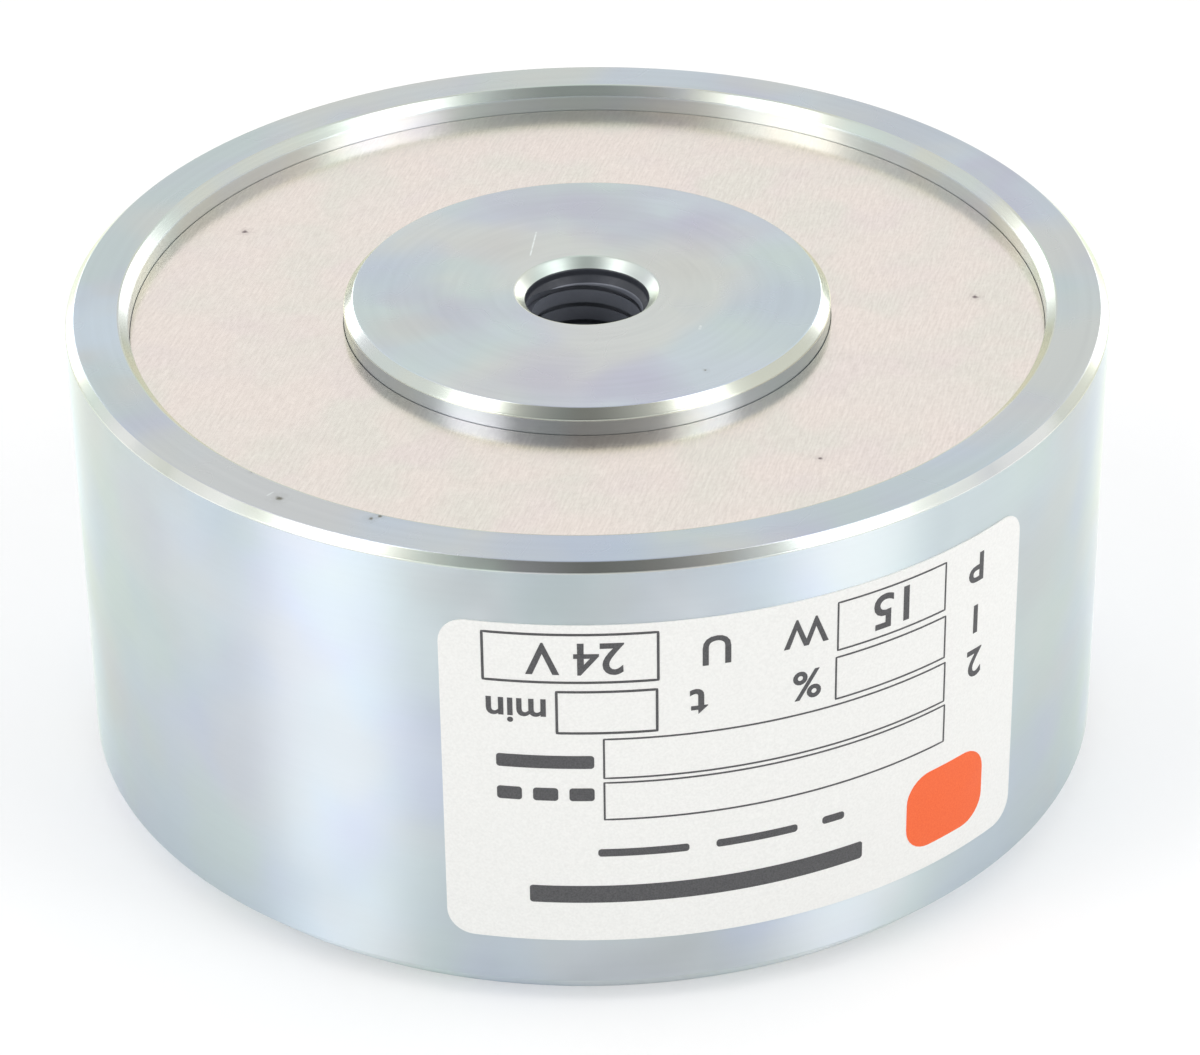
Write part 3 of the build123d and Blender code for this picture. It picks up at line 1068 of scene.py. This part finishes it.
def flat_word(text, across, up, height):
    """A word as a flat mesh, drawn in millimetres, then turned half round and brought to size."""
    letters = bpy.data.curves.new(text, "FONT")
    letters.body = text
    letters.size = height / CAPITAL_SHARE
    letters.align_x = "CENTER"
    letters.resolution_u = LETTER_STEPS
    word = linked(text, letters)
    mesh = plain_mesh(word)
    made_bolder(mesh, LETTER_WEIGHT)
    half_turn = Matrix.Rotation(math.pi, 4, "Z")
    place = Matrix.Translation((across, up, 0))
    middle = Matrix.Translation((0, -height / 2, 0))
    mesh.transform(Matrix.Scale(MM, 4) @ place @ half_turn @ middle)
    bpy.data.objects.remove(word)
    bpy.data.curves.remove(letters)
    return linked("word", mesh)


def joined(name, parts):
    """Several flat meshes as one piece."""
    mesh = bpy.data.meshes.new(name)
    work = bmesh.new()
    for part in parts:
        work.from_mesh(part.data)
    work.to_mesh(mesh)
    work.free()
    for part in parts:
        removed(part)
    return linked(name, mesh)


def wrapped(piece, bottom, thickness, material):
    """Gives a flat piece its thickness and bends it round the side of the body."""
    work = bmesh.new()
    work.from_mesh(piece.data)
    reach = math.ceil(max(abs(vert.co.x) for vert in work.verts) / LABEL_STEP)
    for step in range(-reach, reach + 1):
        everything = work.verts[:] + work.edges[:] + work.faces[:]
        place = (step * LABEL_STEP, 0, 0)
        bmesh.ops.bisect_plane(work, geom=everything, dist=ON_PLANE, plane_co=place, plane_no=(1, 0, 0))
    bmesh.ops.dissolve_degenerate(work, edges=work.edges, dist=WELD)
    work.normal_update()
    bmesh.ops.translate(work, vec=(0, 0, bottom), verts=work.verts)
    for face in work.faces:
        if face.normal.z < 0:
            face.normal_flip()
    work.to_mesh(piece.data)
    work.free()
    wall = piece.modifiers.new("thickness", "SOLIDIFY")
    wall.thickness = thickness
    wall.offset = 1.0
    return smooth(run_tree(settled(piece), WRAP, {"Side Radius": BODY_R, "Material": material}))


def label_sheet():
    """The film of the label on the side of the body."""
    half = LABEL_SPAN * BODY_R / 2
    outline = rounded_outline(-half, half, label_low.z, label_high.z, LABEL_CORNER_R)
    return wrapped(flat_panels("label_sheet", [outline]), 0, SHEET_T, LABEL_FILM)


def label_boxes():
    """The ruled boxes of the label."""
    boxes = []
    for left, right, bottom, top, rule in BOXES.values():
        sizes = {
            "Width": (right - left) * MM,
            "Height": (top - bottom) * MM,
            "Centre": ((left + right) / 2 * MM, (bottom + top) / 2 * MM, SHEET_T + INK_T / 2),
            "Line Width": rule,
            "Ink Thickness": INK_T,
            "Cuts": SMALL_STEPS // 2,
            "Side Radius": BODY_R,
            "Material": DARK_INK,
        }
        boxes.append(run_tree(linked("box", bpy.data.meshes.new("box")), RULED_BOX, sizes))
    piece = joined("label_boxes", boxes)
    piece.data.materials.append(DARK_INK)
    return piece


def label_words():
    """The plain numbers, unit signs and bars of the label."""
    words = [flat_word(*word) for word in WORDS]
    bars = [rounded_outline(*(value * MM for value in bar), BAR_CORNER * MM) for bar in BARS]
    flat = joined("label_words", [*words, flat_panels("bars", bars)])
    return wrapped(flat, SHEET_T, INK_T, DARK_INK)


def label_emblem():
    """The plain orange square of the label."""
    outline = rounded_outline(*(value * MM for value in EMBLEM), EMBLEM_CORNER * MM)
    return wrapped(flat_panels("label_emblem", [outline]), SHEET_T, INK_T, ORANGE_INK)


# Dressing the frame

# Finishes in the sealed chamber: (name, two colours, roughness, depth and size of the grain)
INSIDE_FINISHES = {
    "base_insulator": ("fibre_washer", (120, 66, 44), (158, 92, 62), 0.7, 0.02, 0.3),
    "coil_former": ("former_plastic", (24, 24, 26), (38, 38, 40), 0.45, 0.006, 0.2),
    "winding_tape": ("winding_tape", (204, 168, 52), (222, 188, 74), 0.3, 0.005, 0.6),
    "start_sleeve": ("wire_sleeving", (206, 206, 196), (232, 232, 222), 0.75, 0.02, 0.1),
    "pressure_ring": ("sponge_rubber", (24, 24, 24), (48, 48, 48), 0.85, 0.06, 0.25),
}


def dress(piece, slot, *replaced):
    """A piece rides on the body and stands for the nodes that it replaces. Its slot is not used."""
    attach(piece, "root")
    if replaced:
        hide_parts(*replaced)


def dress_inside():
    """Finishes of the pieces inside the sealed chamber."""
    finishes = {name: plain_finish(*values) for name, values in INSIDE_FINISHES.items()}
    finishes["coil_winding"] = wound_wire()
    brass = plain_finish("tag_brass", (196, 166, 92), (220, 194, 120), 0.28, 0.002, 0.2, metallic=1.0)
    finishes["start_tag"] = brass
    finishes["finish_tag"] = brass
    for name, material in finishes.items():
        nodes[name].data.materials.clear()
        nodes[name].data.materials.append(material)


dress(pot_body(), "zinc_steel_pot", "pot_shell")
dress(centre_pole(), "zinc_steel_core", "pole_core")
dress(coil_cover(), "cover_sheet", "cover_plate")
dress(lead_bush(), "grommet_rubber", "lead_grommet")
dress(label_sheet(), "label_film", "rating_label")
dress(label_boxes(), "label_film")
dress(label_words(), "label_film")
dress(label_emblem(), "label_film")
dress_inside()


# Studio

# Floor: its half width, its grey, how much light of its own it shows, and its ring of dimmer reflections,
# which is painted shade near the object
FLOOR_HALF = 3.0
FLOOR_GREY = 0.74
FLOOR_LIT_SHARE = 0.26
FLOOR_DIM_END = 42 * MM
FLOOR_BRIGHT_START = 90 * MM
FLOOR_DIM_SHARE = 0.12
FLOOR_BRIGHT_SHARE = 0.34
# Walls: their level, and the dim patch round the photographer's place
WALL_LEVEL = 0.935
DIM_ELEVATION = 50
DIM_REACH = math.radians(44)
DIM_LEVEL = 0.01
# Soft lights, one on each side: (azimuth, elevation, width, height, radiance)
SOFTBOX_DISTANCE = 0.8
SOFTBOXES = {
    "softbox": (65.5, 52, 0.21, 0.37, 2.4),
    "softbox_low": (54, 22, 0.38, 0.40, 2.4),
    "softbox_rear": (143, 11, 0.34, 0.30, 2.1),
}


def towards(azimuth, elevation, distance):
    """A place round the object: degrees from the camera's side to the viewer's right, and degrees up."""
    a = math.radians(azimuth) + CAMERA_ROUND
    e = math.radians(elevation)
    return Vector((math.sin(a) * math.cos(e), -math.cos(a) * math.cos(e), math.sin(e))) * distance


def studio_floor():
    """A plain white floor that keeps a soft shadow; its glow in reflections is dimmer near the object, a
    painted shade.
    """
    signs = ((1, 1), (-1, 1), (-1, -1), (1, -1))
    floor = flat_panels("floor", [[(x * FLOOR_HALF, y * FLOOR_HALF, 0) for x, y in signs]])
    material, tree, shader = new_material("floor_white")
    surfaced(tree, shader, (FLOOR_GREY, FLOOR_GREY, FLOOR_GREY, 1.0), 0.9)
    shader["Specular IOR Level"].default_value = 0.0
    shader["Emission Color"].default_value = (1.0, 1.0, 1.0, 1.0)
    path = tree.add("ShaderNodeLightPath").outputs
    seen = tree.math("MAXIMUM", path["Is Camera Ray"], path["Is Transmission Ray"])
    # Painted shade: the glow that reflections show fades near the object.
    reach = tree.vector("LENGTH", tree.place())
    mirrored = tree.spread(reach, FLOOR_DIM_END, FLOOR_BRIGHT_START, FLOOR_DIM_SHARE, FLOOR_BRIGHT_SHARE)
    mirrored = tree.math("MULTIPLY", path["Is Glossy Ray"], mirrored)
    straight = tree.math("MULTIPLY", seen, FLOOR_LIT_SHARE)
    tree.feed(shader["Emission Strength"], tree.math("ADD", straight, mirrored))
    floor.data.materials.append(material)


def studio_world():
    """White all round, with a dim patch over the place where the photographer stands."""
    world = bpy.data.worlds.new("studio")
    bpy.context.scene.world = world
    world.use_nodes = True
    world.node_tree.nodes.clear()
    tree = Tree(world.node_tree)
    direction = tree.add("ShaderNodeTexCoord").outputs["Generated"]
    apart = tree.math("ARCCOSINE", tree.vector("DOT_PRODUCT", direction, towards(0, DIM_ELEVATION, 1)))
    strength = tree.spread(apart, 0.0, DIM_REACH, DIM_LEVEL, WALL_LEVEL)
    sky = tree.made("ShaderNodeBackground", {"Color": (1.0, 1.0, 1.0, 1.0), "Strength": strength})
    tree.add("ShaderNodeOutputWorld", {"Surface": sky})


def softbox(name, azimuth, elevation, width, height, radiance):
    """A rectangular soft light that faces the object, as bright as white paper times its radiance."""
    light = bpy.data.lights.new(name, "AREA")
    light.shape = "RECTANGLE"
    light.size = width
    light.size_y = height
    light.energy = radiance * math.pi * width * height
    lamp = linked(name, light)
    lamp.location = towards(azimuth, elevation, SOFTBOX_DISTANCE)
    lamp.rotation_mode = "QUATERNION"
    lamp.rotation_quaternion = lamp.location.to_track_quat("Z", "Y")


def photo_camera():
    """The camera at the photograph's place, turned as it was."""
    middle = Vector((0, 0, BODY_H))
    away = towards(0, math.degrees(CAMERA_ELEVATION), CAMERA_DISTANCE)
    ahead = -away.normalized()
    side = ahead.cross(Vector((0, 0, 1))).normalized()
    up = side.cross(ahead)
    ahead = (ahead + side * math.tan(CAMERA_YAW) + up * math.tan(CAMERA_PITCH)).normalized()
    side = ahead.cross(up).normalized()
    up = side.cross(ahead)
    rolled_side = side * math.cos(CAMERA_ROLL) + up * math.sin(CAMERA_ROLL)
    rolled_up = -side * math.sin(CAMERA_ROLL) + up * math.cos(CAMERA_ROLL)
    lens = bpy.data.cameras.new("photo_camera")
    lens.lens = CAMERA_LENS
    lens.clip_start = CAMERA_NEAR
    lens.clip_end = CAMERA_FAR
    camera = linked("photo_camera", lens)
    axes = Matrix((rolled_side, rolled_up, -ahead)).transposed().to_4x4()
    camera.matrix_world = Matrix.Translation(middle + away) @ axes
    bpy.context.scene.camera = camera


studio_floor()
studio_world()
for box_name, (azimuth, *rest) in SOFTBOXES.items():
    softbox(f"{box_name}_left", -azimuth, *rest)
    softbox(f"{box_name}_right", azimuth, *rest)
photo_camera()
bpy.context.scene.view_settings.view_transform = "Standard"
